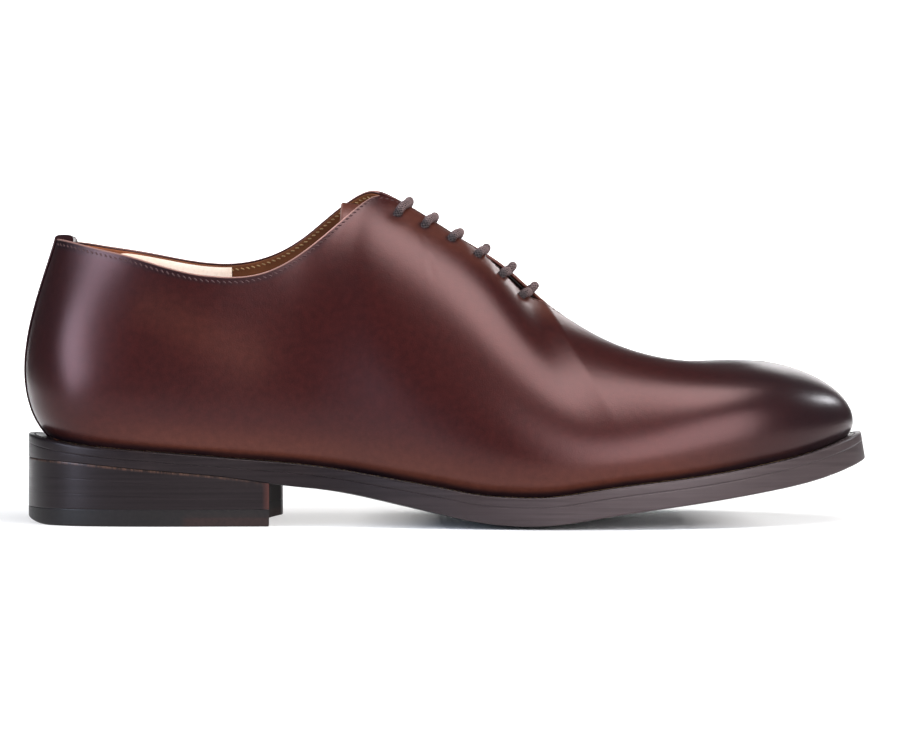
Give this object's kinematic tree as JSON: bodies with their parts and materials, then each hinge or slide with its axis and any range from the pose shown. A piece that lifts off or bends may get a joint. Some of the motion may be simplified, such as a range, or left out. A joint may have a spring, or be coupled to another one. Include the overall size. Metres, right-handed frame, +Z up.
{
  "type": "oxford shoe",
  "caption": "Plain wholecut oxford shoe for the right foot, with closed lacing, a low stacked heel, a welted leather sole and an open collar.",
  "frame": {"origin": "on the floor, in the middle of the shoe's box in length and width", "axes": "+X to the toe, +Y to the medial (inner) side of the foot, +Z up"},
  "size_m": [0.3078, 0.1051, 0.1214],
  "materials": {
    "upper_leather": "burnished chestnut calf leather, polished, darker at toe and heel",
    "sole_edge": "dark stained and waxed leather edge, satin",
    "top_piece_rubber": "dark matt rubber",
    "sock_leather": "undyed tan lining leather, matt",
    "lace_cotton": "waxed round cotton cord, dark brown"
  },
  "bodies": {
    "root": {"upper": "upper_leather", "tongue": "upper_leather", "outsole": "sole_edge", "welt": "sole_edge", "heel_stack": "sole_edge", "heel_top_piece": "top_piece_rubber", "insole": "sock_leather", "lace_bar_1": "lace_cotton", "lace_bar_2": "lace_cotton", "lace_bar_3": "lace_cotton", "lace_bar_4": "lace_cotton", "lace_bar_5": "lace_cotton", "lace_bar_6": "lace_cotton"}
  },
  "joints": []
}
